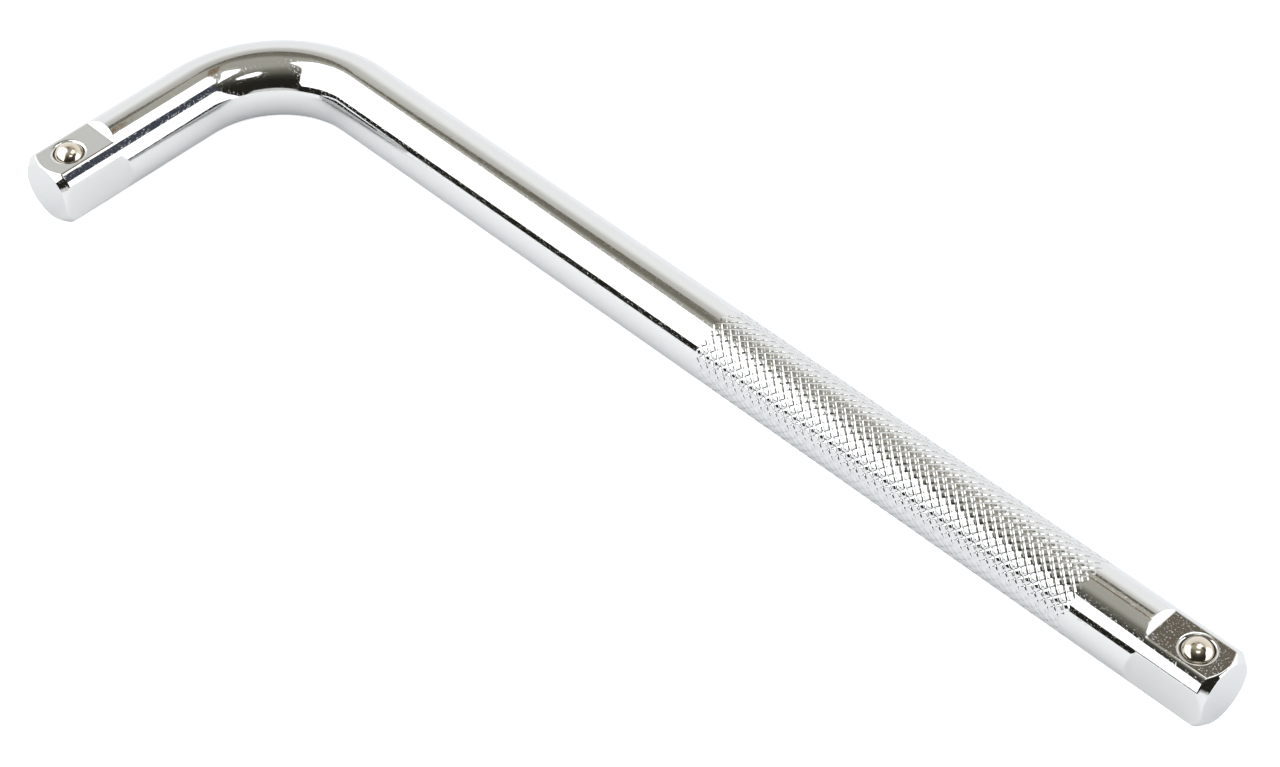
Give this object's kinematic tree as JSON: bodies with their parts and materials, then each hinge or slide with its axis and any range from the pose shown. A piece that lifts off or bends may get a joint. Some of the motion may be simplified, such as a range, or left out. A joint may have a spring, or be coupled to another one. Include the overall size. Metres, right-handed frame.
{
  "type": "L-handle with two square drives",
  "caption": "L-shaped socket handle bent from round bar, with a square drive and a sprung detent ball on both ends.",
  "frame": {"origin": "centre of the short arm's end face, on the short drive's axis, which is the axis that a socket on it turns about", "axes": "+X along the long arm to its drive, -Y out of the short drive's end face, +Z the side that both detent balls face"},
  "size_m": [0.25, 0.069, 0.0155],
  "materials": {
    "chrome_bar": "mirror-polished chrome plate on forged chrome-vanadium steel",
    "detent_ball": "polished hardened bearing steel",
    "spring_wire": "oiled drawn spring wire"
  },
  "bodies": {
    "handle": {"bar": "chrome_bar", "short_drive_spring": "spring_wire", "long_drive_spring": "spring_wire"},
    "short_ball": {"short_drive_ball": "detent_ball"},
    "long_ball": {"long_drive_ball": "detent_ball"}
  },
  "joints": [
    {"name": "short_ball_press", "type": "slide", "parent": "handle", "child": "short_ball", "axis": [0, 0, 1], "range_m": [-0.0015, 0], "stiffness_N_per_m": 3000, "springref_m": 0.002, "deforming": ["short_drive_spring"]},
    {"name": "long_ball_press", "type": "slide", "parent": "handle", "child": "long_ball", "axis": [0, 0, 1], "range_m": [-0.0015, 0], "stiffness_N_per_m": 3000, "springref_m": 0.002, "deforming": ["long_drive_spring"]}
  ]
}
